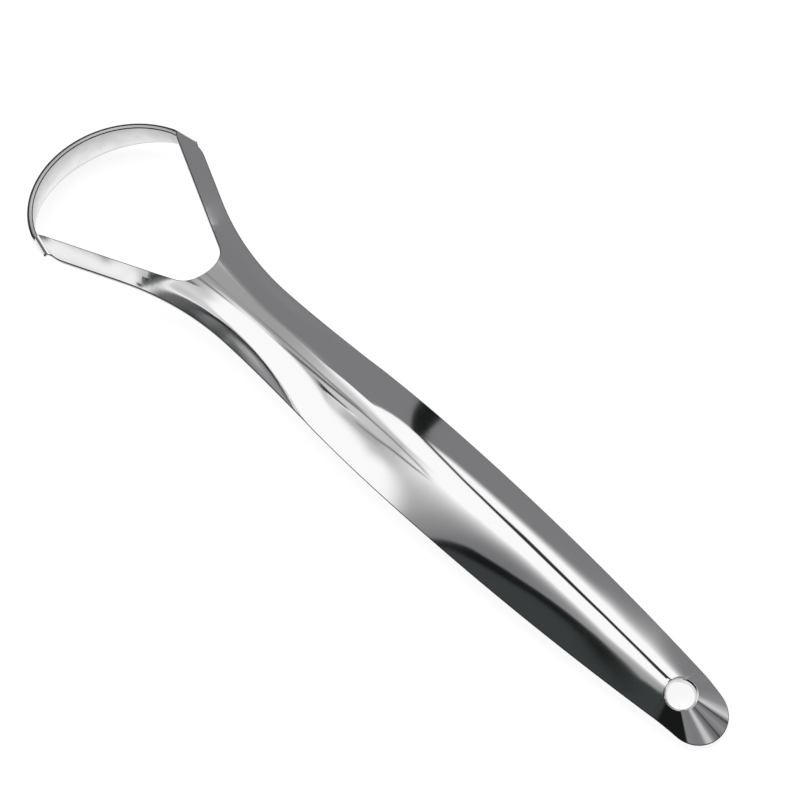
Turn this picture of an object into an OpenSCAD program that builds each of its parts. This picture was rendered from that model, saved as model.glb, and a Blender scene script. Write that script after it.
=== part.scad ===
// Tongue scraper pressed from one piece of stainless steel sheet.
// A ridged handle with a hanging hole runs into two flat arms round a D-shaped opening.
// Across the front of the opening the sheet stands on edge and makes the scraping band.
//
// The sheet is worked out flat on its back first: x runs from the tail to the front,
// y to the side, and z = 0 is the plane of the handle's edges.
// At the end it is tipped and lifted until it lies on the tail and the scraping edge.

/* [Overall] */
// Length from the tail to the front of the scraping edge
total_len = 150; // [135:1:170]
// Thickness of the steel sheet
sheet_t = 0.9; // [0.6:0.1:1.2]

/* [Handle] */
// Radius of the rounded tail, seen from above
tail_r = 4.2; // [3.8:0.1:4.8]
// Width of the handle at its widest
belly_w = 14.7; // [13:0.1:17]
// Distance from the tail to the widest place
belly_x = 62.5; // [54:0.5:70]
// Width of the handle at the neck
neck_w = 12.6; // [11:0.1:14]
// Distance from the neck to the throat, the back of the opening
neck_len = 11.7; // [9:0.1:17]
// Slope of the handle's flanks at the tail, in degrees
tail_slope = 27.5; // [20:0.5:31]
// Slope of the handle's flanks at the widest place, in degrees
belly_slope = 25; // [18:0.5:29]
// Height of the ridge at the throat
throat_h = 1.2; // [1.1:0.05:1.6]
// Rounding of the ridge at the tail
ridge_tail = 0.6; // [0.5:0.1:1.5]
// Rounding of the ridge at the widest place
ridge_belly = 3.8; // [2:0.1:5]
// Rounding of the ridge at the throat
ridge_throat = 8.2; // [6:0.1:10]
// Width of the ridge at the neck, where it is narrower than the sheet
ridge_w = 7.4; // [6:0.1:9]
// Distance from the neck, either way, at which the ridge is twice as wide as there
ridge_spread = 21.5; // [18:0.5:25]

/* [Hanging hole] */
// Diameter of the hanging hole
hole_d = 4; // [3.4:0.1:4.6]
// Distance from the tail to the middle of the hole
hole_x = 6.9; // [6.4:0.1:8]
// Distance from the middle of the hole to the end of the ridge
ridge_end = 1.2; // [0.6:0.1:2]
// Width of the flat seat round the hole
seat_w = 0.6; // [0.4:0.1:0.8]
// Width of the chamfer on the hole's upper edge
hole_chamfer = 0.3; // [0.1:0.05:0.4]

/* [Head] */
// Distance from the throat to the front of the scraping edge
head_len = 40.3; // [37:0.1:44]
// Radius of the throat
throat_r = 4.7; // [4:0.1:5.5]
// Width of each arm
arm_w = 3.1; // [2.4:0.1:3.8]
// Slope across the arms and beside the ridge at the neck, in degrees
arm_slope = 9.5; // [4:0.5:10.5]
// Rounding of the sheet under the ridge at the throat
arm_round = 2.5; // [1.5:0.1:3.5]

/* [Scraping band] */
// Radius of the band, seen from above, to the middle of the sheet
band_r = 15.2; // [14.9:0.1:16]
// Depth of the scraping edge below the arms, at the front
band_drop = 7; // [4:0.1:9]
// Height of the band's other edge above the arms, at the front
band_rise = 0; // [0:0.1:1]
// Forward lean of the band, in degrees
band_lean = 15.5; // [0:0.5:20]
// Radius of the fold from arm to band, to the middle of the sheet
fold_r = 0.65; // [0.6:0.05:1]
// Angle between each fold and the middle line, seen from above
fold_skew = 11.5; // [9:0.5:15]
// Radius of the turn from the fold's straight run into the band's arc
knuckle_r = 2.5; // [2:0.5:4]
// Length trimmed from the outer corner, along the fold
corner_trim = 0.9; // [0.4:0.1:1.2]

/* [Hidden] */

// How finely the sheet is drawn: steps along each stretch, and across
tail_steps = 9;
collar_steps = 6;
handle_steps = 26;
throat_steps = 6;
arm_steps = 9;
fold_steps = 4;
band_steps = 16;
across = 9;
// The steps across crowd towards the ridge by this power
across_power_share = 1.3;
// A cut runs past the metal by this much
overrun = sheet_t;
// Step over which a slope is measured
probe = sheet_t / 100;

// Length of the closely stepped stretch in front of the hole
collar_len = hole_d;
// Half of the short line inside the hole from which the tail's cross lines fan out
fan_len = hole_d / 8;
// The rounding of the outer corner runs this many trims along the arm
corner_share = 4;
// Height over which the root of the ridge is rounded
root_soft = sheet_t / 8;
// The arms' inner edges pass the band's centre at this share of the band's radius
reach_share = 0.757;
// How sharply the band's upper edge climbs out of the fold
climb_power_share = 5;

hole_r = hole_d / 2;
belly_half = belly_w / 2;
neck_half = neck_w / 2;
throat_x = total_len - head_len;
neck_x = throat_x - neck_len;
// The belly is one long arc that meets the tail's arc without a corner
belly_arc_r = (pow(belly_x - tail_r, 2) + pow(belly_half, 2) - pow(tail_r, 2))
            / (2 * (belly_half - tail_r));
tail_turn = 90 - atan((belly_x - tail_r) / (belly_arc_r - belly_half));
tail_join_x = tail_r - tail_r * cos(tail_turn);
ridge_end_x = hole_x + ridge_end;

// Seen from above, the band is an arc that turns more tightly into a straight fold at each end
lean = tan(band_lean);
band_x = total_len - sheet_t / 2 - band_r - lean * band_drop;
band_centre = [band_x, 0];
fold_normal = [sin(fold_skew), cos(fold_skew)];
fold_dir = [-cos(fold_skew), sin(fold_skew)];

// The arm's inner edge touches the throat's arc; its outer edge is parallel, and a sweep from
// the neck runs into it
throat_mid_x = throat_x + throat_r;
arm_angle = asin((reach_share * band_r - throat_r) / (band_x - throat_mid_x));
arm_dir = [cos(arm_angle), sin(arm_angle)];
throat_end = [throat_mid_x, 0] + throat_r * [-arm_dir[1], arm_dir[0]];
neck_sweep_r = (arm_dir[0] * neck_half + arm_dir[1] * (throat_mid_x - neck_x) - throat_r - arm_w)
             / (1 - arm_dir[0]);
sweep_end = [neck_x + neck_sweep_r * arm_dir[1], neck_half + neck_sweep_r * (1 - arm_dir[0])];

// The fold begins on the line of the arm's inner edge, which settles where the arc ends
arc_start = throat_end - band_centre - knuckle_r * fold_normal;
arc_angle = arm_angle + asin(cross(arm_dir, arc_start) / (band_r - knuckle_r));
arc_len = band_r * arc_angle * PI / 180;
knuckle_angle = 90 - fold_skew - arc_angle;
knuckle_len = knuckle_r * knuckle_angle * PI / 180;
knuckle_centre = band_centre + (band_r - knuckle_r) * [cos(arc_angle), sin(arc_angle)];
// Place along the fold where the arm's edge through p reaches it
fold_start = knuckle_centre + (knuckle_r - fold_r) * fold_normal;
function fold_run(p) =
    knuckle_len + cross(p - fold_start, arm_dir) / cross(fold_dir, arm_dir);
inner_run = fold_run(throat_end);
outer_run = fold_run(sweep_end) - corner_trim;
// Direction square to the band in plan, and the plan point itself, at a run along it.
// The run is 0 where the arc ends and falls to minus the arc's length at the front.
function band_normal(run) =
    let (a = run < 0 ? arc_angle * (1 + run / arc_len)
                     : arc_angle + knuckle_angle * min(run / knuckle_len, 1))
    [cos(a), sin(a)];
function band_point(run, inset) = run < 0
    ? band_centre + (band_r - inset) * band_normal(run)
    : knuckle_centre + (knuckle_r - inset) * band_normal(run) + max(run - knuckle_len, 0) * fold_dir;

// A smooth step from 0 to 1
function ease(u) = let (v = min(max(u, 0), 1)) v * v * (3 - 2 * v);
function mix(a, b, u) = a + (b - a) * u;
function unit(v) = v / norm(v);

// Half width of the outline at x, from tail to arm
function half_w(x) =
    x < tail_join_x ? sqrt(max(pow(tail_r, 2) - pow(tail_r - x, 2), 0)) :
    x < belly_x ? belly_half - belly_arc_r + sqrt(pow(belly_arc_r, 2) - pow(belly_x - x, 2)) :
    x < neck_x ? mix(belly_half, neck_half, (1 - cos(180 * (x - belly_x) / (neck_x - belly_x))) / 2) :
    x < sweep_end[0] ? neck_half + neck_sweep_r - sqrt(pow(neck_sweep_r, 2) - pow(x - neck_x, 2)) :
    sweep_end[1] + (x - sweep_end[0]) * tan(arm_angle);

// Height at y of a roof with a rounded top, which is 0 at half width w
function roof(slope, r, w, y) = slope * (norm([w, r]) - norm([y, r]));

// Rounding of the ridge and of the sheet under it, the ridge's half width at its root, and its
// height: all change smoothly from the tail to the widest place, and from there to the throat
function rear_share(x) = ease((x - ridge_end_x) / (belly_x - ridge_end_x));
function front_share(x) = ease((x - belly_x) / (throat_x - belly_x));
function ridge_round(x) = x < belly_x
    ? mix(ridge_tail, ridge_belly, rear_share(x)) : mix(ridge_belly, ridge_throat, front_share(x));
function under_round(x) = x < belly_x ? ridge_round(x) : mix(ridge_belly, arm_round, front_share(x));
function ridge_half(x) = ridge_w / 2 * (1 + pow((x - neck_x) / ridge_spread, 2));
belly_h = roof(tan(belly_slope), ridge_belly, belly_half, 0);
function ridge_h(x) = mix(belly_h, throat_h, front_share(x));

// Height of the gently sloping sheet under the ridge
function under_z(x, y) = roof(tan(arm_slope), under_round(x), half_w(x), y);
// How much steeper the ridge's flanks are: it dies out in the arms as the sheet under it rises
function ridge_steep(x) = x < belly_x
    ? mix(tan(tail_slope), tan(belly_slope), rear_share(x)) - tan(arm_slope)
    : max(ridge_h(x) - under_z(x, 0), 0) / roof(1, ridge_round(x), min(ridge_half(x), half_w(x)), 0);
// The ridge stands on the sheet with a softly rounded root between them
function section_z(x, y) =
    let (rib = roof(ridge_steep(x), ridge_round(x), ridge_half(x), y))
    under_z(x, y) + (rib + norm([rib, root_soft])) / 2;
// Height of the sheet above its outer edge; the ridge ends at the tail in a cone
function roof_z(x, y) =
    let (xr = max(x, ridge_end_x), run = norm([min(x - ridge_end_x, 0), y]))
    section_z(xr, run) - section_z(xr, half_w(xr));

// The flat seat round the hole joins the roof over one more seat width
seat_low = roof_z(hole_x - hole_r, 0);
seat_high = roof_z(hole_x + hole_r, 0);
seat_z = (seat_low + seat_high) / 2;
seat_tilt = atan((seat_high - seat_low) / hole_d);
function sheet_z(x, y) =
    let (u = ease((norm([x - hole_x, y]) - hole_r - seat_w) / (2 * seat_w)))
    mix(seat_z + (x - hole_x) * tan(seat_tilt), roof_z(x, y), u);

// One place on the sheet is its middle point and the direction square to the sheet
function flat_place(x, y) = [
    [x, y, sheet_z(x, y)],
    unit([(sheet_z(x - probe, y) - sheet_z(x + probe, y)) / (2 * probe),
          (sheet_z(x, y - probe) - sheet_z(x, y + probe)) / (2 * probe), 1])];

// Plan points where the fold meets the opening and the outer edge
fold_in = band_point(inner_run, fold_r);
fold_out = band_point(outer_run, fold_r);
// The sheet turns about the fold, from square to the arm until it is square to the band
arm_up = unit([-tan(arm_slope) * tan(arm_angle), tan(arm_slope), 1]);
function leaned(n) = unit([n[0], n[1], lean * n[0]]);
fold_fall = fold_r * (arm_up[2] - leaned(fold_normal)[2]);
function start_z(q) =
    mix(sheet_z(fold_in[0], fold_in[1]), sheet_z(fold_out[0], fold_out[1]), q) - fold_fall;

// Place on the band: s runs from 0 at the fold to 1 at the front, q from upper to scraping edge
function band_place(s, q) =
    let (run = mix(mix(inner_run, outer_run, q), -arc_len, s),
         upper = mix(start_z(0), band_rise, 1 - pow(1 - s, climb_power_share)),
         lower = mix(start_z(1), -band_drop, 1 - pow(1 - s, 2)),
         z = mix(upper, lower, q),
         p = band_point(run, 0))
    [[p[0] - lean * z, p[1], z], leaned(band_normal(run))];

// Place on the fold: turn runs from 0 at the arm to 90 at the band, q from opening to outer edge
function fold_place(turn, q) =
    let (start = band_place(0, q), n = unit(cos(turn) * arm_up + sin(turn) * start[1]))
    [start[0] + fold_r * (n - start[1]), n];

// The trimmed outer corner is rounded into the arm's straight edge
corner_in = half_w(fold_out[0]) - fold_out[1];
corner_len = corner_share * corner_trim;
function outline_point(x) =
    [x, half_w(x) - corner_in * pow(max(1 - (fold_out[0] - x) / corner_len, 0), 2)];

// Cross lines in plan, each from the ridge or the opening to the outer edge
throat_out_x = throat_x - throat_r * arm_dir[0] * arm_dir[1] * 2;
arm_out_x = throat_end[0] - (half_w(throat_end[0]) - throat_end[1]) * arm_dir[1];
collar_out_x = hole_x + collar_len;
plan_lines = concat(
    [for (i = [0:tail_steps - 1]) let (a = tail_turn * i / tail_steps)
        [[hole_x - fan_len * cos(90 * i / tail_steps), 0], tail_r * [1 - cos(a), sin(a)]]],
    [for (i = [0:collar_steps - 1]) let (u = i / collar_steps)
        [[mix(hole_x, hole_x + collar_len, u), 0], outline_point(mix(tail_join_x, collar_out_x, u))]],
    [for (i = [0:handle_steps - 1]) let (u = i / handle_steps)
        [[mix(hole_x + collar_len, throat_x, u), 0],
         outline_point(mix(collar_out_x, throat_x, u) - (throat_x - throat_out_x) * ease(4 * u - 3))]],
    [for (i = [0:throat_steps - 1]) let (u = i / throat_steps, a = 180 - (90 - arm_angle) * u)
        [[throat_x + throat_r + throat_r * cos(a), throat_r * sin(a)],
         outline_point(mix(throat_out_x, arm_out_x, u))]],
    [for (i = [0:arm_steps - 1]) let (u = i / arm_steps)
        [mix(throat_end, fold_in, u), outline_point(mix(arm_out_x, fold_out[0], u))]]);

// Steps across run from the ridge or the opening to the outer edge
steps_across = [for (j = [0:across]) pow(j / across, across_power_share)];

// Every cross line of one half, as places on the sheet, from the tail round to the front
half_lines = concat(
    [for (l = plan_lines) [for (q = steps_across)
        let (p = mix(l[0], l[1], q)) flat_place(p[0], p[1])]],
    [for (i = [0:fold_steps]) [for (q = steps_across) fold_place(90 * i / fold_steps, q)]],
    [for (i = [1:band_steps]) [for (q = steps_across) band_place(i / band_steps, q)]]);

// Both halves make one closed loop of cross lines
last_half = len(half_lines) - 1;
loop = 2 * last_half;
wide = across + 1;
function mirrored(place) = [for (v = place) [v[0], -v[1], v[2]]];
all_places = [for (k = [0:loop - 1]) each k <= last_half
    ? half_lines[k] : [for (place = half_lines[loop - k]) mirrored(place)]];
sheet_points = concat([for (p = all_places) p[0] + p[1] * sheet_t / 2],
                      [for (p = all_places) p[0] - p[1] * sheet_t / 2]);

// Cross lines up to this one start on the ridge, where both halves share their points
throat_line = tail_steps + collar_steps + handle_steps;
function at(k, j, side) =
    let (m = k % loop, shared = j == 0 && m >= loop - throat_line)
    (shared ? loop - m : m) * wide + j + side * loop * wide;
sheet_faces = concat(
    [for (k = [0:loop - 1], j = [0:across - 1])
        [at(k, j, 0), at(k, j + 1, 0), at(k + 1, j + 1, 0), at(k + 1, j, 0)]],
    [for (k = [0:loop - 1], j = [0:across - 1])
        [at(k, j, 1), at(k + 1, j, 1), at(k + 1, j + 1, 1), at(k, j + 1, 1)]],
    [for (k = [0:loop - 1])
        [at(k, across, 0), at(k, across, 1), at(k + 1, across, 1), at(k + 1, across, 0)]],
    [for (k = [throat_line:loop - throat_line - 1])
        [at(k, 0, 0), at(k + 1, 0, 0), at(k + 1, 0, 1), at(k, 0, 1)]]);

// Lying at rest: tipped until the tail and the scraping edge are level, then lifted on to z = 0
rest_tilt = atan((sheet_z(0, 0) + band_drop) / total_len);
function tipped(p) = [p[0] * cos(rest_tilt) - p[2] * sin(rest_tilt), p[1],
                      p[0] * sin(rest_tilt) + p[2] * cos(rest_tilt)];
rest_points = [for (p = sheet_points) tipped(p)];
rest_xs = [for (p = rest_points) p[0]];
rest_zs = [for (p = rest_points) p[2]];

module sheet() {
    polyhedron(points = sheet_points, faces = sheet_faces, convexity = 8);
}

// The hole is square to its seat, with a chamfer on the upper edge
module hanging_hole() {
    translate([hole_x, 0, seat_z]) rotate([0, -seat_tilt, 0]) {
        cylinder(r = hole_r, h = 2 * (sheet_t + overrun), center = true, $fn = 48);
        translate([0, 0, sheet_t / 2 - hole_chamfer])
            cylinder(r1 = hole_r, r2 = hole_r + hole_chamfer + overrun,
                     h = hole_chamfer + overrun, $fn = 48);
    }
}

module scraper() {
    color("silver")
        translate([-(min(rest_xs) + max(rest_xs)) / 2, 0, -min(rest_zs)])
            rotate([0, -rest_tilt, 0])
                difference() {
                    sheet();
                    hanging_hole();
                }
}

scraper();
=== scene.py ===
import math

import bpy
import numpy as np
from mathutils import Matrix, Vector


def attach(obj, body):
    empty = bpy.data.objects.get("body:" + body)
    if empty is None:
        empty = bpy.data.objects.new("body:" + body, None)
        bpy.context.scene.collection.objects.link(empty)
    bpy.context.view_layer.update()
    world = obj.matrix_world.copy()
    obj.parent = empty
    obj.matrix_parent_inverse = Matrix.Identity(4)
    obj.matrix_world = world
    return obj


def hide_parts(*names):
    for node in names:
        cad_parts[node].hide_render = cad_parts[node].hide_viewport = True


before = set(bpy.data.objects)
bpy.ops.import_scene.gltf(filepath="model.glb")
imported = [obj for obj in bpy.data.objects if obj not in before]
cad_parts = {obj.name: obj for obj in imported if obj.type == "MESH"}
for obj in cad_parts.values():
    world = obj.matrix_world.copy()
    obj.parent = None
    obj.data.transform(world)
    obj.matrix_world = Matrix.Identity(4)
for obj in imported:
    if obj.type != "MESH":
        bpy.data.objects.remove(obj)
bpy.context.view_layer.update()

MM = 0.001

# The sheet's sizes in millimetres and degrees, as in the part's source
TOTAL_LEN = 150.0
SHEET_T = 0.9
TAIL_R = 4.2
BELLY_W = 14.7
BELLY_X = 62.5
NECK_W = 12.6
NECK_LEN = 11.7
TAIL_SLOPE = 27.5
BELLY_SLOPE = 25.0
THROAT_H = 1.2
RIDGE_TAIL = 0.6
RIDGE_BELLY = 3.8
RIDGE_THROAT = 8.2
RIDGE_W = 7.4
RIDGE_SPREAD = 21.5
HOLE_D = 4.0
HOLE_X = 6.9
RIDGE_END = 1.2
HEAD_LEN = 40.3
THROAT_R = 4.7
ARM_W = 3.1
ARM_SLOPE = 9.5
ARM_ROUND = 2.5
BAND_R = 15.2
BAND_DROP = 7.0
BAND_RISE = 0.0
BAND_LEAN = 15.5
FOLD_R = 0.65
FOLD_SKEW = 11.5
KNUCKLE_R = 2.5
CORNER_TRIM = 0.9
CORNER_SHARE = 4.0
ROOT_SOFT = SHEET_T / 8.0
REACH_SHARE = 0.757
# How the band's upper and lower edges leave the folds: a higher power levels out sooner
CLIMB_POWER = 5.0
DROP_POWER = 2

# Distance over which the sheet's slope is measured
PROBE = SHEET_T / 100.0
# The ridge stands at least this far over the flanges' own crown
LEAST_RISE = PROBE * MM
# Rounds in which the ridge's slope is corrected for its softened root
CREST_ROUNDS = 3

# Rounding that polishing leaves on the cut edges, and on the hole's rim
EDGE_R = 0.14
HOLE_EDGE_R = 0.3
# Share of a cut wall, beside the upper face, that is painted nearly black like the rounded corners: painted
# shade for the dark outline along the edges
WALL_SHADE = 0.35
# How sharply the outline bends in to the trimmed outer corner
CORNER_POWER = 4
# The folded outer corners are trimmed by this share of the fold's length. The trim
# grows at this rate over the fold, and fades over this share of the band.
FOLD_TRIM = 0.2
TRIM_GROWTH = 1.6
TRIM_FADE = 0.14
# The hole's fan of lines ends this share of the hole's width past the hole
FAN_REACH = 0.6

# How finely the sheet is drawn
HOLE_STEPS = 32
RIDGE_STEPS = 110
THROAT_STEPS = 18
ARM_STEPS = 26
FOLD_STEPS = 10
BAND_STEPS = 56
ACROSS = 30
EDGE_STEPS = 4
ACROSS_POWER = 1.5
# Points nearer than this, in millimetres, are one point
MERGE = 1e-6

# The sheet's materials, in their order on the mesh
POLISHED = 0
FROSTED = 1
CUT_WALL = 2
# The rounded cut corners get a nearly black steel: painted shade for the dark outlines along the edges
PAINTED_DARK_CORNER = 3
# The frosting starts this many lines before the end of the fold
FROST_LINES = FOLD_STEPS // 3


def sind(a):
    return np.sin(np.radians(a))


def cosd(a):
    return np.cos(np.radians(a))


def tand(a):
    return math.tan(math.radians(a))


def cross2(a, b):
    return a[0] * b[1] - a[1] * b[0]


def unit(v):
    return v / np.linalg.norm(v, axis=-1, keepdims=True)


def ease(u):
    v = np.clip(u, 0.0, 1.0)
    return v * v * (3.0 - 2.0 * v)


def mix(a, b, u):
    return a + (b - a) * u


# Values worked out from the sizes
HALF_T = SHEET_T / 2.0
HOLE_R = HOLE_D / 2.0
BELLY_HALF = BELLY_W / 2.0
NECK_HALF = NECK_W / 2.0
BELLY_ARC_R = ((BELLY_X - TAIL_R) ** 2 + BELLY_HALF ** 2 - TAIL_R ** 2) / (2.0 * (BELLY_HALF - TAIL_R))
TAIL_TURN = 90.0 - math.degrees(math.atan((BELLY_X - TAIL_R) / (BELLY_ARC_R - BELLY_HALF)))
TAIL_ARC = TAIL_R * math.radians(TAIL_TURN)
TAIL_JOIN_X = TAIL_R - TAIL_R * cosd(TAIL_TURN)
AHEAD_X = HOLE_X + HOLE_R + HOLE_D * FAN_REACH
RIDGE_END_X = HOLE_X + RIDGE_END
THROAT_X = TOTAL_LEN - HEAD_LEN
THROAT_MID_X = THROAT_X + THROAT_R
NECK_X = THROAT_X - NECK_LEN
LEAN = tand(BAND_LEAN)
BAND_X = TOTAL_LEN - SHEET_T / 2.0 - BAND_R - LEAN * BAND_DROP
BAND_CENTRE = np.array([BAND_X, 0.0])
FOLD_NORMAL = np.array([sind(FOLD_SKEW), cosd(FOLD_SKEW)])
FOLD_DIR = np.array([-cosd(FOLD_SKEW), sind(FOLD_SKEW)])
ARM_ANGLE = math.degrees(math.asin((REACH_SHARE * BAND_R - THROAT_R) / (BAND_X - THROAT_MID_X)))
ARM_DIR = np.array([cosd(ARM_ANGLE), sind(ARM_ANGLE)])
THROAT_END = np.array([THROAT_MID_X - THROAT_R * ARM_DIR[1], THROAT_R * ARM_DIR[0]])
NECK_SWEEP_R = (ARM_DIR[0] * NECK_HALF + ARM_DIR[1] * (THROAT_MID_X - NECK_X)
                - THROAT_R - ARM_W) / (1.0 - ARM_DIR[0])
SWEEP_END = np.array([NECK_X + NECK_SWEEP_R * ARM_DIR[1], NECK_HALF + NECK_SWEEP_R * (1.0 - ARM_DIR[0])])
ARC_ANGLE = ARM_ANGLE + math.degrees(math.asin(
    cross2(ARM_DIR, THROAT_END - BAND_CENTRE - KNUCKLE_R * FOLD_NORMAL) / (BAND_R - KNUCKLE_R)))
ARC_LEN = BAND_R * math.radians(ARC_ANGLE)
KNUCKLE_ANGLE = 90.0 - FOLD_SKEW - ARC_ANGLE
KNUCKLE_LEN = KNUCKLE_R * math.radians(KNUCKLE_ANGLE)
KNUCKLE_CENTRE = BAND_CENTRE + (BAND_R - KNUCKLE_R) * np.array([cosd(ARC_ANGLE), sind(ARC_ANGLE)])


def fold_run(p):
    """Distance along the fold's line, from the end of the band's arc, at which an arm's edge meets it."""
    gap = p - KNUCKLE_CENTRE - (KNUCKLE_R - FOLD_R) * FOLD_NORMAL
    return KNUCKLE_LEN + cross2(gap, ARM_DIR) / cross2(FOLD_DIR, ARM_DIR)


INNER_RUN = fold_run(THROAT_END)
OUTER_RUN = fold_run(SWEEP_END) - CORNER_TRIM


def half_w(x):
    """Half width of the outline at x."""
    x = np.asarray(x, float)
    tail = np.sqrt(np.maximum(TAIL_R ** 2 - (TAIL_R - x) ** 2, 0.0))
    belly = BELLY_HALF - BELLY_ARC_R + np.sqrt(BELLY_ARC_R ** 2 - (BELLY_X - np.minimum(x, BELLY_X)) ** 2)
    waist = mix(BELLY_HALF, NECK_HALF, (1.0 - cosd(180.0 * (x - BELLY_X) / (NECK_X - BELLY_X))) / 2.0)
    along = np.clip(x - NECK_X, 0.0, SWEEP_END[0] - NECK_X)
    sweep = NECK_HALF + NECK_SWEEP_R - np.sqrt(NECK_SWEEP_R ** 2 - along ** 2)
    arm = SWEEP_END[1] + (x - SWEEP_END[0]) * tand(ARM_ANGLE)
    return np.select([x < TAIL_JOIN_X, x < BELLY_X, x < NECK_X, x < SWEEP_END[0]],
                     [tail, belly, waist, sweep], arm)


def roof(slope, r, w, y):
    """Height at y of a roof that reaches zero at w, with its crest rounded by r."""
    return slope * (np.hypot(w, r) - np.hypot(y, r))


def rear_share(x):
    return ease((x - RIDGE_END_X) / (BELLY_X - RIDGE_END_X))


def front_share(x):
    return ease((x - BELLY_X) / (THROAT_X - BELLY_X))


def ridge_round(x):
    rear = mix(RIDGE_TAIL, RIDGE_BELLY, rear_share(x))
    return np.where(x < BELLY_X, rear, mix(RIDGE_BELLY, RIDGE_THROAT, front_share(x)))


def under_round(x):
    return np.where(x < BELLY_X, ridge_round(x), mix(RIDGE_BELLY, ARM_ROUND, front_share(x)))


def ridge_half(x):
    return RIDGE_W / 2.0 * (1.0 + ((x - NECK_X) / RIDGE_SPREAD) ** 2)


def under_z(x, y):
    """Height of the flanges and arms, which the ridge stands on."""
    return roof(tand(ARM_SLOPE), under_round(x), half_w(x), y)


BELLY_H = roof(tand(BELLY_SLOPE), RIDGE_BELLY, BELLY_HALF, 0.0)


def softened(rib):
    return (rib + np.hypot(rib, ROOT_SOFT)) / 2.0


def ridge_steep(x):
    """Slope of the ridge's flanks, so that its crest runs as one smooth line."""
    rear = mix(tand(TAIL_SLOPE), tand(BELLY_SLOPE), rear_share(x)) - tand(ARM_SLOPE)
    fx = np.maximum(x, BELLY_X)
    rise = np.maximum(mix(BELLY_H, THROAT_H, front_share(fx)) - under_z(fx, 0.0), LEAST_RISE)
    crown = roof(1.0, ridge_round(fx), ridge_half(fx), 0.0)
    edge = roof(1.0, ridge_round(fx), ridge_half(fx), half_w(fx))
    fore = rise / (crown - np.maximum(edge, 0.0))
    gain = 1.0
    for i in range(CREST_ROUNDS):
        steep = gain * fore
        gain = gain * rise / (softened(steep * crown) - softened(steep * edge))
    return gain * np.where(x < BELLY_X, rear, fore)


def section_z(x, y):
    rib = roof(ridge_steep(x), ridge_round(x), ridge_half(x), y)
    return under_z(x, y) + softened(rib)


def sheet_z(x, y):
    """Height of the sheet's middle over its outline; behind the ridge's end it falls like a cone."""
    xr = np.maximum(x, RIDGE_END_X)
    run = np.hypot(np.minimum(x - RIDGE_END_X, 0.0), y)
    return section_z(xr, run) - section_z(xr, half_w(xr))


# The hole is punched square to the sheet between its rear and its front
SEAT_LOW = float(sheet_z(np.array(HOLE_X - HOLE_R), 0.0))
SEAT_HIGH = float(sheet_z(np.array(HOLE_X + HOLE_R), 0.0))
SEAT_Z = (SEAT_LOW + SEAT_HIGH) / 2.0
SEAT_TILT = math.degrees(math.atan((SEAT_HIGH - SEAT_LOW) / HOLE_D))


def flat_places(p):
    """Middle points and directions square to the sheet, for plan points p."""
    x = p[..., 0]
    y = p[..., 1]
    normal = np.stack([(sheet_z(x - PROBE, y) - sheet_z(x + PROBE, y)) / (2.0 * PROBE),
                       (sheet_z(x, y - PROBE) - sheet_z(x, y + PROBE)) / (2.0 * PROBE),
                       np.ones_like(x)], axis=-1)
    return np.stack([x, y, sheet_z(x, y)], axis=-1), unit(normal)


def band_normal(run):
    """Plan direction out of the band: round its arc where run < 0, then round the knuckle."""
    arc = ARC_ANGLE * (1.0 + run / ARC_LEN)
    knuckle = ARC_ANGLE + KNUCKLE_ANGLE * np.minimum(run / KNUCKLE_LEN, 1.0)
    a = np.where(run < 0.0, arc, knuckle)
    return np.stack([cosd(a), sind(a)], axis=-1)


def band_point(run, inset):
    """Plan point of the band, with inset measured inwards from its middle."""
    n = band_normal(run)
    arc = BAND_CENTRE + (BAND_R - inset) * n
    straight = np.maximum(run - KNUCKLE_LEN, 0.0)[..., None] * FOLD_DIR
    knuckle = KNUCKLE_CENTRE + (KNUCKLE_R - inset) * n + straight
    return np.where((run < 0.0)[..., None], arc, knuckle)


FOLD_IN = band_point(np.array(INNER_RUN), FOLD_R)
FOLD_OUT = band_point(np.array(OUTER_RUN), FOLD_R)
ARM_UP = unit(np.array([-tand(ARM_SLOPE) * tand(ARM_ANGLE), tand(ARM_SLOPE), 1.0]))


def leaned(n):
    return unit(np.stack([n[..., 0], n[..., 1], LEAN * n[..., 0]], axis=-1))


FOLD_FALL = FOLD_R * (ARM_UP[2] - leaned(FOLD_NORMAL)[2])
START_IN = float(sheet_z(*FOLD_IN)) - FOLD_FALL
START_OUT = float(sheet_z(*FOLD_OUT)) - FOLD_FALL


def band_places(s, q):
    """Middle points and normals across the band, from the fold at s = 0 to the front at s = 1."""
    run = mix(mix(INNER_RUN, OUTER_RUN, q), -ARC_LEN, s)
    upper = mix(START_IN, BAND_RISE, 1.0 - (1.0 - s) ** CLIMB_POWER)
    lower = mix(START_OUT, -BAND_DROP, 1.0 - (1.0 - s) ** DROP_POWER)
    z = mix(upper, lower, q)
    p = band_point(run, 0.0)
    return np.stack([p[..., 0] - LEAN * z, p[..., 1], z], axis=-1), leaned(band_normal(run))


def fold_places(turn, q):
    """Middle points and normals across the fold, from the arm at 0 degrees to the band at 90."""
    point, normal = band_places(0.0, q)
    n = unit(cosd(turn) * ARM_UP + sind(turn) * normal)
    return point + FOLD_R * (n - normal), n


CORNER_IN = float(half_w(FOLD_OUT[0])) - FOLD_OUT[1]
CORNER_LEN = CORNER_SHARE * CORNER_TRIM
# Where the lines from the throat's middle and from its end meet the outline
THROAT_OUT_X = THROAT_X - THROAT_R * ARM_DIR[0] * ARM_DIR[1] * 2.0
ARM_OUT_X = THROAT_END[0] - (float(half_w(THROAT_END[0])) - THROAT_END[1]) * ARM_DIR[1]


def outline_point(x):
    near = np.maximum(1.0 - (FOLD_OUT[0] - x) / CORNER_LEN, 0.0)
    return np.array([x, float(half_w(x)) - CORNER_IN * near ** CORNER_POWER])


def outline_along(s):
    """Point of the outline at distance s from the tail's tip."""
    if s < TAIL_ARC:
        a = math.degrees(s / TAIL_R)
        return np.array([TAIL_R * (1.0 - cosd(a)), TAIL_R * sind(a)])
    return outline_point(TAIL_JOIN_X + s - TAIL_ARC)


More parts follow.
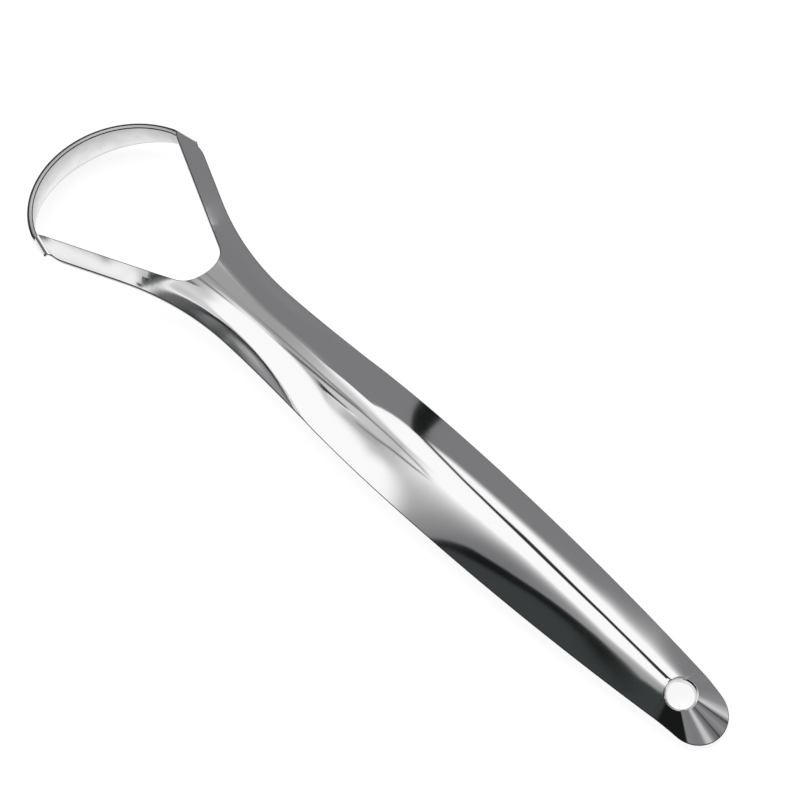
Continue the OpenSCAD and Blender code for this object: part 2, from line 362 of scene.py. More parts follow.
def hole_lines():
    """Plan lines that fan out from the hole's rim to the outline."""
    beside = TAIL_ARC + HOLE_X - TAIL_JOIN_X
    ahead = TAIL_ARC + AHEAD_X - TAIL_JOIN_X
    lines = []
    for i in range(HOLE_STEPS + 1):
        u = i / HOLE_STEPS
        a = 180.0 * (1.0 - u)
        rim = np.array([HOLE_X + HOLE_R * cosd(a) * cosd(SEAT_TILT), HOLE_R * sind(a)])
        s = beside * 2.0 * u if u < 0.5 else mix(beside, ahead, 2.0 * u - 1.0)
        lines.append((rim, outline_along(s)))
    return lines


def ridge_lines():
    """Plan lines from the crest to the outline; over the last quarter they slant back to the arm."""
    start = HOLE_X + HOLE_R * cosd(SEAT_TILT)
    lines = []
    for i in range(1, RIDGE_STEPS):
        u = i / RIDGE_STEPS
        back = (THROAT_X - THROAT_OUT_X) * float(ease(4.0 * u - 3.0))
        crest = np.array([mix(start, THROAT_X, u), 0.0])
        lines.append((crest, outline_point(mix(AHEAD_X, THROAT_X, u) - back)))
    return lines


def arm_lines():
    """Plan lines from the opening to the outline, round the throat and along the arm."""
    lines = []
    for i in range(THROAT_STEPS):
        u = i / THROAT_STEPS
        a = 180.0 - (90.0 - ARM_ANGLE) * u
        p = np.array([THROAT_MID_X + THROAT_R * cosd(a), THROAT_R * sind(a)])
        lines.append((p, outline_point(mix(THROAT_OUT_X, ARM_OUT_X, u))))
    for i in range(ARM_STEPS):
        u = i / ARM_STEPS
        lines.append((mix(THROAT_END, FOLD_IN, u), outline_point(mix(ARM_OUT_X, FOLD_OUT[0], u))))
    return lines


def half_sheet():
    """One half's cross lines: middle points, normals, inner edge radius, and if the inner end is open."""
    even = (np.arange(ACROSS + 1) / ACROSS) ** ACROSS_POWER
    points = []
    normals = []
    inner_r = []
    is_open = []
    for i, (a, b) in enumerate(hole_lines() + ridge_lines() + arm_lines()):
        inner_r.append(HOLE_EDGE_R if i <= HOLE_STEPS else EDGE_R)
        is_open.append(i <= HOLE_STEPS or i >= HOLE_STEPS + RIDGE_STEPS)
        length = np.linalg.norm(b - a)
        low = inner_r[i] / length if is_open[i] else 0.0
        high = 1.0 - EDGE_R / length
        q = np.concatenate([[0.0], low + (high - low) * even, [1.0]])
        p, n = flat_places(a + (b - a) * q[:, None])
        points.append(p)
        normals.append(n)
    low = EDGE_R / np.linalg.norm(FOLD_OUT - FOLD_IN)
    across = np.concatenate([[0.0], low + (1.0 - 2.0 * low) * even, [1.0]])
    for i in range(FOLD_STEPS + 1 + BAND_STEPS):
        grown = float(ease(TRIM_GROWTH * i / FOLD_STEPS))
        faded = float(ease((i - FOLD_STEPS) / (BAND_STEPS * TRIM_FADE)))
        trim = FOLD_TRIM * (grown * (1.0 - faded))
        q = across * (1.0 - trim)
        if i <= FOLD_STEPS:
            p, n = fold_places(90.0 * i / FOLD_STEPS, q)
        else:
            p, n = band_places((i - FOLD_STEPS) / BAND_STEPS, q)
        points.append(p)
        normals.append(n)
        inner_r.append(EDGE_R)
        is_open.append(True)
    return np.array(points), np.array(normals), np.array(inner_r), np.array(is_open)


FLIP = np.array([1.0, -1.0, 1.0])


def whole_sheet():
    """Both halves' cross lines, as one loop round the sheet."""
    points, normals, inner_r, is_open = half_sheet()
    back = np.arange(len(points) - 2, 0, -1)
    return (np.concatenate([points, points[back] * FLIP]), np.concatenate([normals, normals[back] * FLIP]),
            np.concatenate([inner_r, inner_r[back]]), np.concatenate([is_open, is_open[back]]))


def edge_direction(edge, normals, inside):
    """Directions across a closed edge, in the sheet's plane and away from the points inside."""
    along = np.roll(edge, -1, axis=0) - np.roll(edge, 1, axis=0)
    across = unit(np.cross(along, normals))
    return across * np.sign(np.sum(across * (edge - inside), axis=1))[:, None]


def inner_directions(points, normals):
    """Directions out of the sheet at the rim of the opening and at the rim of the hole."""
    loop = len(points)
    first = HOLE_STEPS + RIDGE_STEPS
    ring = np.arange(first, loop - first)
    side = edge_direction(points[ring, 0], normals[ring, 0], points[ring, 2])
    found = np.zeros((loop, 3))
    found[ring] = side
    found[loop - first] = side[0] * FLIP
    hole_centre = np.array([HOLE_X, 0.0, SEAT_Z])
    for k in list(range(HOLE_STEPS + 1)) + list(range(loop - HOLE_STEPS, loop)):
        inward = hole_centre - points[k, 0]
        found[k] = unit(inward - np.dot(inward, normals[k, 0]) * normals[k, 0])
    return found


CORNER_TURNS = np.linspace(0.0, 90.0, EDGE_STEPS + 1)


def rounded_corner(point, normal, direction, radius):
    """Points and normals of one rounded corner, from the face to the wall."""
    base = point + normal * (HALF_T - radius) - direction * radius
    turned = [cosd(t) * normal + sind(t) * direction for t in CORNER_TURNS]
    return [base + radius * n for n in turned], turned


def wall(top, low, direction):
    """The point that parts a cut wall into its upper share, painted dark as shade, and its plain lower share.
    """
    return [(mix(top[-1], low[-1], WALL_SHADE), direction)]


def section(points, normals, out_dir, in_dir, inner_r, is_open):
    """One cross line's points and normals: the upper face, the outer edge and the lower face,
    and then, where the inner end is open, the rim from the lower to the upper face."""
    upper = points[1:-2] + normals[1:-2] * HALF_T
    lower = points[1:-2] - normals[1:-2] * HALF_T
    rim = []
    if is_open:
        top, top_n = rounded_corner(points[0], normals[0], in_dir, inner_r)
        low, low_n = rounded_corner(points[0], -normals[0], in_dir, min(inner_r, EDGE_R))
        upper[0] = top[0]
        lower[0] = low[0]
        rim = list(zip(low[1:], low_n[1:])) + wall(top, low, in_dir) + list(zip(top[:0:-1], top_n[:0:-1]))
    top, top_n = rounded_corner(points[-1], normals[-1], out_dir, EDGE_R)
    low, low_n = rounded_corner(points[-1], -normals[-1], out_dir, EDGE_R)
    row = list(zip(upper, normals[1:-2])) + list(zip(top, top_n)) + wall(top, low, out_dir)
    row += list(zip(low[::-1], low_n[::-1])) + list(zip(lower[::-1], -normals[1:-2][::-1]))
    return row, rim


# Places along a section: where its upper corner starts, and the plain share of its cut wall
CORNER_PLACE = ACROSS
WALL_PLACE = ACROSS + 1 + EDGE_STEPS


def row_kind(m, on_band):
    """Material between the points m and m + 1 of a section."""
    if m == WALL_PLACE:
        return CUT_WALL
    if CORNER_PLACE <= m <= WALL_PLACE + EDGE_STEPS:
        return PAINTED_DARK_CORNER
    if on_band and m > WALL_PLACE + EDGE_STEPS + 1:
        return FROSTED
    return POLISHED


def rim_kind(m, at_hole):
    """Material between the points m and m + 1 of a rim."""
    if at_hole:
        return POLISHED
    return CUT_WALL if m == EDGE_STEPS else PAINTED_DARK_CORNER


def sheet_faces(rows, rims):
    """Faces between each section and the next, and their materials."""
    faces = []
    kinds = []
    loop = len(rows)
    frost_start = loop // 2 - BAND_STEPS - FROST_LINES
    for k in range(loop):
        after = (k + 1) % loop
        a = rows[k]
        b = rows[after]
        on_band = min(k, loop - k - 1) >= frost_start
        for m in range(len(a) - 1):
            faces.append([a[m], a[m + 1], b[m + 1], b[m]])
            kinds.append(row_kind(m, on_band))
        if rims[k] and rims[after]:
            a = [a[-1], *rims[k], a[0]]
            b = [b[-1], *rims[after], b[0]]
            at_hole = min(k, loop - k) <= HOLE_STEPS
            for m in range(len(a) - 1):
                faces.append([a[m], a[m + 1], b[m + 1], b[m]])
                kinds.append(rim_kind(m, at_hole))
    return faces, kinds


def joined(verts, norms, faces, kinds):
    """The same mesh with the points that both halves have on the ridge as one."""
    rounded = np.round(verts / MERGE).astype(np.int64)
    rounded[rounded == 0] = 0
    unused, keep, merged = np.unique(rounded, axis=0, return_index=True, return_inverse=True)
    merged = merged.reshape(-1)
    clean = []
    clean_kinds = []
    for face, kind in zip(faces, kinds):
        kept = []
        for v in face:
            w = int(merged[v])
            if w not in kept:
                kept.append(w)
        if len(kept) > 2:
            clean.append(kept[::-1])
            clean_kinds.append(kind)
    return verts[keep], norms[keep], clean, clean_kinds


# How far the resting sheet is tipped, and how far the CAD shifts it then, from its own box
REST_TILT = math.degrees(math.atan((float(sheet_z(np.array(0.0), 0.0)) + BAND_DROP) / TOTAL_LEN))
SHIFT = np.array([-74.9866, 0.0, 2.18884])


def to_rest(p):
    c = cosd(REST_TILT)
    s = sind(REST_TILT)
    return np.stack([p[..., 0] * c - p[..., 2] * s, p[..., 1], p[..., 0] * s + p[..., 2] * c], axis=-1)


def build_sheet():
    """The sheet as one closed mesh with rounded cut edges and exact smooth normals."""
    points, normals, inner_r, is_open = whole_sheet()
    out_dir = edge_direction(points[:, -1], normals[:, -1], points[:, -3])
    in_dir = inner_directions(points, normals)
    pairs = []
    rows = []
    rims = []
    for k in range(len(points)):
        row, rim = section(points[k], normals[k], out_dir[k], in_dir[k], inner_r[k], is_open[k])
        rows.append(range(len(pairs), len(pairs) + len(row)))
        pairs += row
        rims.append(range(len(pairs), len(pairs) + len(rim)))
        pairs += rim
    faces, kinds = sheet_faces(rows, rims)
    verts = np.array([p for p, n in pairs])
    norms = np.array([n for p, n in pairs])
    verts, norms, faces, kinds = joined(verts, norms, faces, kinds)
    placed = (to_rest(verts) + SHIFT) * MM
    mesh = bpy.data.meshes.new("pressed_sheet")
    mesh.from_pydata([tuple(v) for v in placed], [], faces)
    mesh.update()
    mesh.polygons.foreach_set("material_index", kinds)
    mesh.shade_smooth()
    mesh.normals_split_custom_set_from_vertices([tuple(n) for n in unit(to_rest(norms))])
    body = bpy.data.objects.new("pressed_sheet", mesh)
    bpy.context.scene.collection.objects.link(body)
    return body


def node_material(name):
    mat = bpy.data.materials.new(name)
    mat.use_nodes = True
    return mat, mat.node_tree.nodes, mat.node_tree.links


def noise(nodes, links, coords, scale, detail, stretch=(1.0, 1.0, 1.0)):
    mapping = nodes.new("ShaderNodeMapping")
    mapping.inputs["Scale"].default_value = stretch
    links.new(coords, mapping.inputs["Vector"])
    tex = nodes.new("ShaderNodeTexNoise")
    tex.inputs["Scale"].default_value = scale
    tex.inputs["Detail"].default_value = detail
    links.new(mapping.outputs["Vector"], tex.inputs["Vector"])
    return tex.outputs["Fac"]


def ranged(nodes, links, value, low, high, out_low, out_high):
    node = nodes.new("ShaderNodeMapRange")
    node.inputs["From Min"].default_value = low
    node.inputs["From Max"].default_value = high
    node.inputs["To Min"].default_value = out_low
    node.inputs["To Max"].default_value = out_high
    links.new(value, node.inputs["Value"])
    return node.outputs["Result"]


def bump(nodes, links, height, depth_mm):
    node = nodes.new("ShaderNodeBump")
    node.inputs["Distance"].default_value = depth_mm * MM
    node.inputs["Strength"].default_value = 1.0
    links.new(height, node.inputs["Height"])
    return node


# The marks on the steel: how far they are drawn out along the sheet, and how busy they are
SMUDGE_STRETCH = (0.5, 1.0, 1.0)
WAVE_STRETCH = (0.35, 1.0, 1.0)
GRAIN_STRETCH = (0.15, 1.0, 1.0)
SMUDGE_DETAIL = 4.0
WAVE_DETAIL = 1.0
GRAIN_DETAIL = 3.0
# The smudges' scale, and the noise's values at the least and the most roughness
SMUDGE_SCALE = 90.0
SMUDGE_SMOOTH = 0.35
SMUDGE_ROUGH = 0.7


def steel(name, colour, rough, wave, grain):
    """Steel with smudges in its gloss, a slow wave from the press and a fine grain.

    rough is the least and the most roughness, wave and grain are depth and width in millimetres."""
    mat, nodes, links = node_material(name)
    shader = nodes["Principled BSDF"]
    shader.inputs["Metallic"].default_value = 1.0
    shader.inputs["Base Color"].default_value = (*colour, 1.0)
    coords = nodes.new("ShaderNodeTexCoord").outputs["Object"]
    smudge = noise(nodes, links, coords, SMUDGE_SCALE, SMUDGE_DETAIL, SMUDGE_STRETCH)
    roughness = ranged(nodes, links, smudge, SMUDGE_SMOOTH, SMUDGE_ROUGH, *rough)
    links.new(roughness, shader.inputs["Roughness"])
    slow = noise(nodes, links, coords, 1.0 / (wave[1] * MM), WAVE_DETAIL, WAVE_STRETCH)
    fine = noise(nodes, links, coords, 1.0 / (grain[1] * MM), GRAIN_DETAIL, GRAIN_STRETCH)
    bump_slow = bump(nodes, links, slow, wave[0])
    bump_fine = bump(nodes, links, fine, grain[0])
    links.new(bump_slow.outputs["Normal"], bump_fine.inputs["Normal"])
    links.new(bump_fine.outputs["Normal"], shader.inputs["Normal"])
    return mat


# Painted light and shade on the frosted face: its colour is lightest at the scraping edge near the floor
# (painted light) and darkest under the band's upper edge (painted shade), at these heights in metres, and how
# a cloudy noise between two values varies its tone
PAINTED_LIGHT_Z = 0.0005
PAINTED_SHADE_Z = 0.0075
PAINTED_LIGHT_LEVEL = 0.98
PAINTED_SHADE_LEVEL = 0.52
CLOUD_SCALE = 400.0
CLOUD_DETAIL = 3.0
CLOUD_FROM = 0.3
CLOUD_TO = 0.7
CLOUD_DARK = 0.94
CLOUD_LIGHT = 1.06


def frosted_steel_with_painted_shade():
    """The band's blasted inner face, its colour painted light at the scraping edge and painted shade under
    its upper edge.
    """
    mat = steel("frosted", (0.80, 0.80, 0.79), rough=(0.42, 0.55), wave=(0.004, 5.0), grain=(0.004, 0.12))
    nodes = mat.node_tree.nodes
    links = mat.node_tree.links
    coords = nodes.new("ShaderNodeTexCoord").outputs["Object"]
    height = nodes.new("ShaderNodeSeparateXYZ")
    links.new(coords, height.inputs["Vector"])
    cloud = noise(nodes, links, coords, CLOUD_SCALE, CLOUD_DETAIL)
    # Painted light and shade: the colour is lightest near the floor and darkest under the band's upper edge
    level = ranged(nodes, links, height.outputs["Z"],
                   PAINTED_LIGHT_Z, PAINTED_SHADE_Z, PAINTED_LIGHT_LEVEL, PAINTED_SHADE_LEVEL)
    shade_and_cloud = nodes.new("ShaderNodeMath")
    shade_and_cloud.operation = "MULTIPLY"
    links.new(level, shade_and_cloud.inputs[0])
    varied = ranged(nodes, links, cloud, CLOUD_FROM, CLOUD_TO, CLOUD_DARK, CLOUD_LIGHT)
    links.new(varied, shade_and_cloud.inputs[1])
    links.new(shade_and_cloud.outputs["Value"], nodes["Principled BSDF"].inputs["Base Color"])
    return mat


sheet = build_sheet()
# In the order of POLISHED, FROSTED, CUT_WALL and PAINTED_DARK_CORNER
for material in (
        steel("polished", (0.72, 0.72, 0.72), rough=(0.03, 0.06), wave=(0.006, 9.0), grain=(0.0002, 0.35)),
        frosted_steel_with_painted_shade(),
        steel("cut_wall", (0.55, 0.55, 0.555), rough=(0.25, 0.4), wave=(0.004, 5.0), grain=(0.004, 0.25)),
        # The nearly black corner steel is painted shade: the dark outlines along the cut edges
        steel("painted_dark_corner", (0.05, 0.05, 0.053), rough=(0.2, 0.35), wave=(0.004, 5.0), grain=(0.002, 0.3))):
    sheet.data.materials.append(material)
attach(sheet, "root")
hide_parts("scraper")


# The studio: a tent round the object's long axis, seen only in the steel. Its panels are
# placed in two measures: the angle a round the axis in degrees, which is 0
# straight up and grows towards the photo's lower left, and x along the axis in metres.
TENT_R = 0.7
TENT_HALF = 1.6
# The tent's mesh is fine where the steel sees it
TENT_ANGLES = np.concatenate([np.linspace(-110.0, -75.0, 36), np.linspace(-74.5, 42.0, 466),
                              np.linspace(42.5, 110.0, 136)])
TENT_XS = np.concatenate([np.linspace(-TENT_HALF, -0.62, 4), np.linspace(-0.61, 0.075, 138),
                          np.linspace(0.08, 0.56, 481), np.linspace(0.58, TENT_HALF, 12)])

# The panels' levels of light
WHITE = 1.32
ARM_LIGHT = 1.27
FAR_GREY = 0.265
FAR_THROAT_GREY = 0.38
LINE_BLACK = 0.045
PATCH_BLACK = 0.015
# Where the middle of the rays lies, and their scale along both measures
RAY_X = -0.31
RAY_ANGLE = -18.0
RAY_LONG = 0.3
RAY_HIGH = 20.0

# The panels' edges, soft widths and levels, as knots over x
CHARCOAL_EDGE = ((0.05, 14.0), (0.085, 28.0), (0.10, 34.0), (0.12, 34.5), (0.15, 32.2), (0.17, 30.2),
                 (0.20, 27.8), (0.22, 26.6), (0.25, 26.0), (0.27, 26.2), (0.278, 28.0), (0.285, 30.5),
                 (0.31, 36.0))
CHARCOAL_LEVEL = ((0.28, 0.062), (0.35, 0.2))
BLACK_EDGE_HALF = ((0.08, 0.9), (0.12, 1.1), (0.16, 1.5), (0.20, 1.4))
BLACK_EDGE_LEVEL = ((0.11, 0.058), (0.15, 0.012))
VEIL_DEPTH = ((0.12, 9.0), (0.17, 8.0), (0.20, 14.0), (0.25, 25.0), (0.30, 38.0), (0.33, 40.0),
              (0.345, 38.0), (0.38, 30.0))
VEIL_LEVEL = ((0.12, 0.45), (0.16, 0.45), (0.20, 0.33), (0.25, 0.22), (0.28, 0.26), (0.30, 0.36),
              (0.32, 0.55), (0.335, 0.75), (0.37, 1.3))
VEIL_POWER = 2.2
NECK_LOW = ((0.33, -16.0), (0.36, -19.0), (0.38, -22.0), (0.40, -25.0), (0.42, -27.0), (0.44, -29.0),
            (0.455, -33.0), (0.465, -37.0), (0.48, -42.0), (0.49, -46.0))
NECK_LOW_SOFT = ((0.34, 6.0), (0.40, 12.0), (0.46, 12.0))
NECK_HIGH = ((0.33, 17.0), (0.36, 20.0), (0.38, 17.0), (0.40, 15.0), (0.42, 13.5), (0.44, 11.5),
             (0.455, 8.5), (0.47, 3.0), (0.485, -3.0))
NECK_HIGH_SOFT = ((0.36, 9.0), (0.44, 8.0))
NECK_LEVEL = ((0.33, 0.68), (0.36, 0.72), (0.40, 0.8), (0.44, 0.8), (0.455, 0.62), (0.48, 0.46))
NECK_SHADE = ((0.35, 0.5), (0.38, 0.58), (0.405, 0.65), (0.415, 0.9), (0.43, 0.85), (0.44, 0.75))
STRIP_SHADE = ((0.39, 0.42), (0.44, 0.36), (0.47, 0.3))
STRIP_LOW = ((0.326, -1.0), (0.33, -5.0), (0.336, -8.0), (0.36, -9.3), (0.40, -9.8), (0.415, -8.7),
             (0.43, -7.7), (0.445, -6.2), (0.46, -4.3), (0.47, -2.2), (0.48, 1.0))
STRIP_LOW_HALF = ((0.335, 1.4), (0.40, 1.8), (0.46, 2.1))
STRIP_LOW_LEVEL = ((0.335, 0.36), (0.36, 0.36), (0.39, 0.33), (0.41, 0.24), (0.43, 0.17), (0.445, 0.14),
                   (0.47, 0.14), (0.48, 0.3))
STRIP_HIGH = ((0.326, 1.0), (0.335, 3.8), (0.35, 5.2), (0.365, 7.2), (0.385, 8.3))
STRIP_HIGH_LEVEL = ((0.335, 0.26), (0.36, 0.30), (0.385, 0.38))
ARM_LOW = ((0.398, 2.3), (0.407, 2.9), (0.409, 3.5), (0.414, 3.45), (0.421, 3.75), (0.439, 4.35),
           (0.442, 5.6))
FLANGE_LEVEL = ((0.42, 0.34), (0.437, 0.28), (0.446, 0.06))
FLANGE_EDGE = ((0.405, 2.1), (0.43, 1.7), (0.447, 1.4))
FLANGE_EDGE_LEVEL = ((0.408, 0.12), (0.42, 0.16), (0.428, 0.12), (0.434, 0.03))
FAR_EDGE = ((0.05, -30.0), (0.09, -48.0), (0.10, -60.0), (0.115, -66.5), (0.14, -68.3), (0.16, -69.2),
            (0.20, -66.5), (0.25, -60.5), (0.30, -54.0), (0.33, -50.0), (0.345, -46.5), (0.37, -45.0),
            (0.38, -43.0), (0.39, -39.5), (0.398, -34.6), (0.404, -34.3), (0.455, -34.3),
            (0.465, -36.0), (0.475, -38.0), (0.485, -40.0), (0.50, -30.0))
FAR_SOFT = ((0.15, 6.0), (0.33, 5.0), (0.37, 3.0), (0.40, 1.5), (0.45, 1.5), (0.47, 4.0))
LINE_PLACE = ((0.10, -22.0), (0.12, -25.0), (0.15, -33.0), (0.18, -38.0), (0.20, -41.0), (0.25, -42.0),
              (0.28, -42.5), (0.30, -41.6), (0.32, -42.0), (0.335, -44.5), (0.345, -47.0))
LINE_HALF = ((0.12, 13.0), (0.15, 10.0), (0.18, 8.0), (0.20, 6.5), (0.25, 5.0), (0.28, 4.0),
             (0.30, 2.5), (0.32, 1.7), (0.34, 1.5))
# The rays' levels, as knots over the direction from their middle in degrees
RAYS = ((-180.0, 0.2), (-173.0, 0.2), (-168.0, 0.04), (-162.0, 0.25), (-141.0, 0.36), (-129.0, 0.25),
        (-124.0, 0.25), (-119.0, 0.04), (-114.0, 0.38), (-108.0, 0.85), (-100.0, 0.6), (-93.0, 0.35),
        (-78.0, 0.27), (-60.0, 0.29), (-54.0, 0.38), (-50.0, 0.45), (-20.0, 0.65), (-15.0, 0.06),
        (3.0, 0.06), (8.0, 1.4), (28.0, 1.4), (36.0, 0.2), (42.0, 0.07), (68.0, 0.05), (72.0, 0.013),
        (106.0, 0.013), (109.0, 0.3), (124.0, 0.26), (137.0, 0.28), (148.0, 0.75), (157.0, 0.75),
        (166.0, 0.4), (175.0, 0.25), (180.0, 0.2))


def curve(v, knots):
    """Straight lines through knots of place and value."""
    return np.interp(v, [place for place, value in knots], [value for place, value in knots])


def above(v, edge, soft):
    """0 below the edge and 1 above it, over a soft width."""
    return ease((v - edge) / soft + 0.5)


def below(v, edge, soft):
    return 1.0 - above(v, edge, soft)


def band(v, centre, half, soft):
    """1 within half of the centre and 0 outside, over a soft width."""
    return below(np.abs(v - centre), half, soft)


def paint_veil(level, a, x):
    """Grey veil under the charcoal panel. It ends on a slanting line near the neck."""
    share = np.clip((curve(x, CHARCOAL_EDGE) - a) / curve(x, VEIL_DEPTH), 0.0, 1.0)
    level = mix(curve(x, VEIL_LEVEL), level, share ** VEIL_POWER)
    end_x = 0.352 - (a - 12.0) * 0.0022
    return mix(level, WHITE, above(x, edge=end_x, soft=0.025) * above(a, edge=14.0, soft=8.0))


def paint_neck(level, a, x):
    """Pale panel that the crown of the neck sees, with a greyer part beside its upper edge."""
    high = curve(x, NECK_HIGH)
    panel = above(x, edge=0.333, soft=0.012) * above(a, edge=curve(x, NECK_LOW), soft=curve(x, NECK_LOW_SOFT))
    panel = panel * below(a, edge=high, soft=curve(x, NECK_HIGH_SOFT))
    level = mix(level, curve(x, NECK_LEVEL), panel)
    shade = band(x, centre=0.405, half=0.05, soft=0.03) * band(a, centre=9.0, half=4.5, soft=5.0)
    return mix(level, curve(x, NECK_SHADE), shade * below(a, edge=high, soft=8.0))


def paint_strips(level, a, x):
    """Two dark strips that meet at the front of the handle, and a shade beside the lower one."""
    shade = above(x, edge=0.395, soft=0.02) * band(a, centre=-12.3, half=2.0, soft=3.0)
    level = mix(level, curve(x, STRIP_SHADE), shade * below(x, edge=0.488, soft=0.01))
    start = above(x, edge=0.327, soft=0.006)
    low = start * band(a, centre=curve(x, STRIP_LOW), half=curve(x, STRIP_LOW_HALF), soft=2.0)
    level = mix(level, curve(x, STRIP_LOW_LEVEL), low * below(x, edge=0.482, soft=0.01))
    high = start * band(a, centre=curve(x, STRIP_HIGH), half=1.3, soft=2.0)
    return mix(level, curve(x, STRIP_HIGH_LEVEL), high * below(x, edge=0.392, soft=0.012))


def paint_left_arm(level, a, x):
    """Seen by the left flange and arm: a grey, its nearly black edge and a bright panel."""
    arm_low = curve(x, ARM_LOW)
    arm_high = 3.9 + (x - 0.40) * 38.0
    flange = above(x, edge=0.408, soft=0.003) * below(x, edge=0.452, soft=0.003)
    level = mix(level, curve(x, FLANGE_LEVEL), flange * band(a, centre=1.3, half=0.8, soft=0.5))
    edge = flange * above(a, edge=curve(x, FLANGE_EDGE), soft=0.4) * below(a, edge=arm_low, soft=0.25)
    level = mix(level, curve(x, FLANGE_EDGE_LEVEL), edge)
    arm = above(x, edge=0.396, soft=0.003) * below(x, edge=0.439, soft=0.003)
    arm = arm * above(a, edge=arm_low, soft=0.25) * below(a, edge=arm_high, soft=0.4)
    return mix(level, ARM_LIGHT, arm)


def paint_far_side(level, a, x):
    """Grey panel low on the far side, lighter beside the throat."""
    edge = curve(x, FAR_EDGE)
    lighter = above(a, edge=edge - 5.0, soft=9.0) * above(x, edge=0.462, soft=0.012)
    grey = mix(FAR_GREY, FAR_THROAT_GREY, lighter)
    return mix(level, grey, below(a, edge=edge, soft=curve(x, FAR_SOFT)))


def paint_charcoal(level, a, x):
    """Charcoal panel and its black edge."""
    edge = curve(x, CHARCOAL_EDGE)
    half = curve(x, BLACK_EDGE_HALF)
    end = np.maximum(below(x, edge=0.284, soft=0.008), above(a, edge=31.0, soft=2.0))
    level = mix(level, curve(x, CHARCOAL_LEVEL), above(a, edge=edge, soft=1.2) * end)
    black = band(a, centre=edge + 0.3 + half, half=half, soft=1.2) * end
    return mix(level, curve(x, BLACK_EDGE_LEVEL), black * above(x, edge=0.105, soft=0.02))


def paint_line(level, a, x):
    """Black line beside the crest, and the black patch at its front end."""
    line = band(a, centre=curve(x, LINE_PLACE), half=curve(x, LINE_HALF), soft=2.5)
    level = mix(level, LINE_BLACK, line * below(x, edge=0.345, soft=0.01))
    down = -46.0 - a
    patch = above(x, edge=0.341 + down * 0.00065, soft=0.003)
    patch = patch * below(x, edge=0.356 + down * 0.0012, soft=0.003)
    return mix(level, PATCH_BLACK, patch * below(a, edge=-45.5, soft=1.5))


def paint_rays(level, a, x):
    """Rays that the tail's round end sees, and a white spot in their middle."""
    across = a - RAY_ANGLE
    along = x - RAY_X
    direction = np.degrees(np.arctan2(across / RAY_HIGH, along / RAY_LONG))
    level = mix(curve(direction, RAYS), level, above(x, edge=0.07, soft=0.05))
    spot = np.hypot(along / 0.05, across / 4.0)
    return mix(level, WHITE, below(spot, edge=1.0, soft=0.3))


def tent_level(a, x):
    """The tent's light at the angle a and the place x."""
    level = np.full(np.broadcast(a, x).shape, WHITE)
    for paint in (paint_veil, paint_neck, paint_strips, paint_left_arm, paint_far_side,
                  paint_charcoal, paint_line, paint_rays):
        level = paint(level, a, x)
    return level


# The dark greys lose this share of red, the middle ones lose green and gain blue
DARK_LESS_RED = 0.12
GREY_LESS_GREEN = 0.02
GREY_MORE_BLUE = 0.035


def tent_colour(level):
    """The tent's greys: the dark ones faintly green, the middle ones faintly violet."""
    violet = band(level, centre=0.27, half=0.09, soft=0.12)
    green = below(level, edge=0.12, soft=0.1)
    tint = np.stack([1.0 - DARK_LESS_RED * green, 1.0 - GREY_LESS_GREEN * violet,
                     1.0 + GREY_MORE_BLUE * violet, np.ones_like(level)], axis=-1)
    tint[..., :3] *= level[..., None]
    return tint


def build_tent():
    rows = len(TENT_ANGLES)
    columns = len(TENT_XS)
    verts = [(x, TENT_R * sind(a), TENT_R * cosd(a)) for a in TENT_ANGLES for x in TENT_XS]
    levels = tent_level(TENT_ANGLES[:, None], TENT_XS[None, :]).ravel()
    faces = []
    for i in range(rows - 1):
        for j in range(columns - 1):
            k = i * columns + j
            faces.append((k, k + 1, k + columns + 1, k + columns))
    mesh = bpy.data.meshes.new("tent")
    mesh.from_pydata(verts, [], faces)
    layer = mesh.attributes.new("glow", "FLOAT_COLOR", "POINT")
    layer.data.foreach_set("color", tent_colour(levels).ravel())
    tent = bpy.data.objects.new("tent", mesh)
    bpy.context.scene.collection.objects.link(tent)
    mat, nodes, links = node_material("tent")
    nodes.remove(nodes["Principled BSDF"])
    glow = nodes.new("ShaderNodeEmission")
    level = nodes.new("ShaderNodeAttribute")
    level.attribute_name = "glow"
    links.new(level.outputs["Color"], glow.inputs["Color"])
    links.new(glow.outputs["Emission"], nodes["Material Output"].inputs["Surface"])
    mesh.materials.append(mat)
    tent.visible_camera = False
    tent.visible_diffuse = False
    tent.visible_shadow = False
    tent.visible_transmission = False


# The floor is a plain pale square that glows a little, so that it stays nearly white
FLOOR_HALF = 3.0
FLOOR_GREY = 0.25
FLOOR_GLOW = 0.78
FLOOR_ROUGH = 0.9


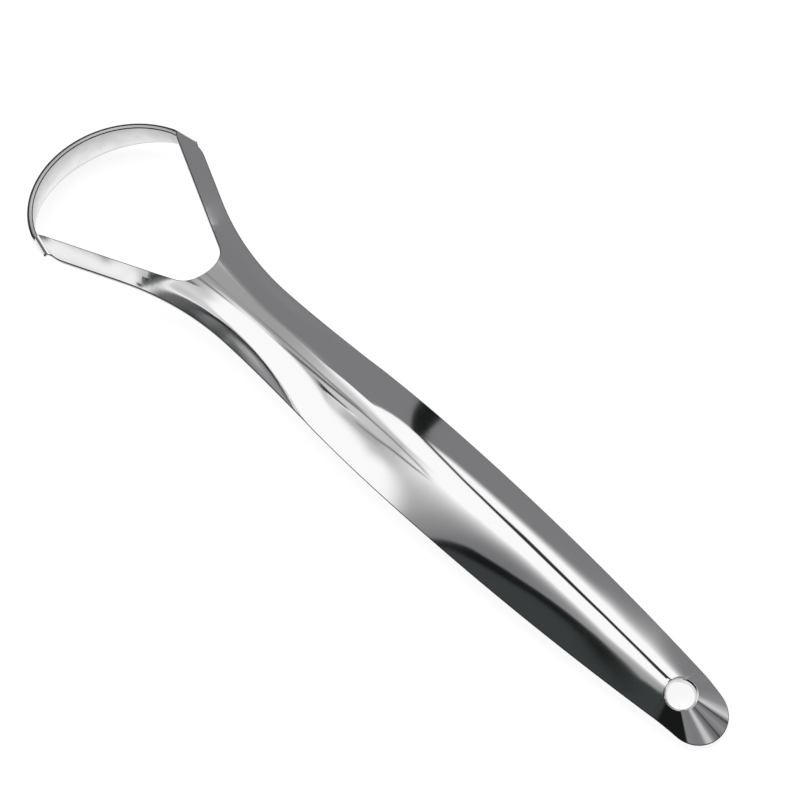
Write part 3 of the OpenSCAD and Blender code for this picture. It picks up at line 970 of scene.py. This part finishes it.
def build_floor():
    corners = [(x * FLOOR_HALF, y * FLOOR_HALF, 0.0) for x, y in ((-1, -1), (1, -1), (1, 1), (-1, 1))]
    mesh = bpy.data.meshes.new("floor")
    mesh.from_pydata(corners, [], [(0, 1, 2, 3)])
    floor = bpy.data.objects.new("floor", mesh)
    bpy.context.scene.collection.objects.link(floor)
    mat, nodes, links = node_material("floor")
    shader = nodes["Principled BSDF"]
    shader.inputs["Base Color"].default_value = (FLOOR_GREY, FLOOR_GREY, FLOOR_GREY, 1.0)
    shader.inputs["Roughness"].default_value = FLOOR_ROUGH
    shader.inputs["Specular IOR Level"].default_value = 0.0
    shader.inputs["Emission Color"].default_value = (1.0, 1.0, 1.0, 1.0)
    shader.inputs["Emission Strength"].default_value = FLOOR_GLOW
    mesh.materials.append(mat)


build_tent()
build_floor()

world = bpy.data.worlds.new("studio")
bpy.context.scene.world = world
world.use_nodes = True
background = world.node_tree.nodes["Background"]
background.inputs["Color"].default_value = (1.0, 1.0, 1.0, 1.0)
background.inputs["Strength"].default_value = 1.0

# One soft round lamp over the floor, which gives the object its shadow
LAMP_PLACE = Vector((0.1, -0.1, 0.9))
LAMP_SIZE = 0.5
LAMP_POWER = 2.0
lamp_data = bpy.data.lights.new("key", "AREA")
lamp_data.shape = "DISK"
lamp_data.size = LAMP_SIZE
lamp_data.energy = LAMP_POWER
lamp = bpy.data.objects.new("key", lamp_data)
lamp.location = LAMP_PLACE
lamp.rotation_euler = (-LAMP_PLACE).to_track_quat("-Z", "Y").to_euler()
lamp.visible_glossy = False
bpy.context.scene.collection.objects.link(lamp)

# The camera: where it aims, from which direction and how far, its roll and its lens
AIM = Vector((-0.00397, -0.00568, 0.004))
AZIMUTH = 151.448
ELEVATION = 53.64
DISTANCE = 0.3504
ROLL = 15.342
LENS = 106.413
SENSOR = 36.0
CLIP_START = 0.01
CLIP_END = 20.0
camera_data = bpy.data.cameras.new("camera")
camera_data.lens = LENS
camera_data.sensor_width = SENSOR
camera_data.clip_start = CLIP_START
camera_data.clip_end = CLIP_END
camera = bpy.data.objects.new("camera", camera_data)
bpy.context.scene.collection.objects.link(camera)
towards = Vector((cosd(ELEVATION) * cosd(AZIMUTH), cosd(ELEVATION) * sind(AZIMUTH), sind(ELEVATION)))
camera.matrix_world = (Matrix.Translation(AIM + towards * DISTANCE)
                       @ towards.to_track_quat("Z", "Y").to_matrix().to_4x4()
                       @ Matrix.Rotation(-math.radians(ROLL), 4, "Z"))
bpy.context.scene.camera = camera
bpy.context.scene.view_settings.view_transform = "Standard"
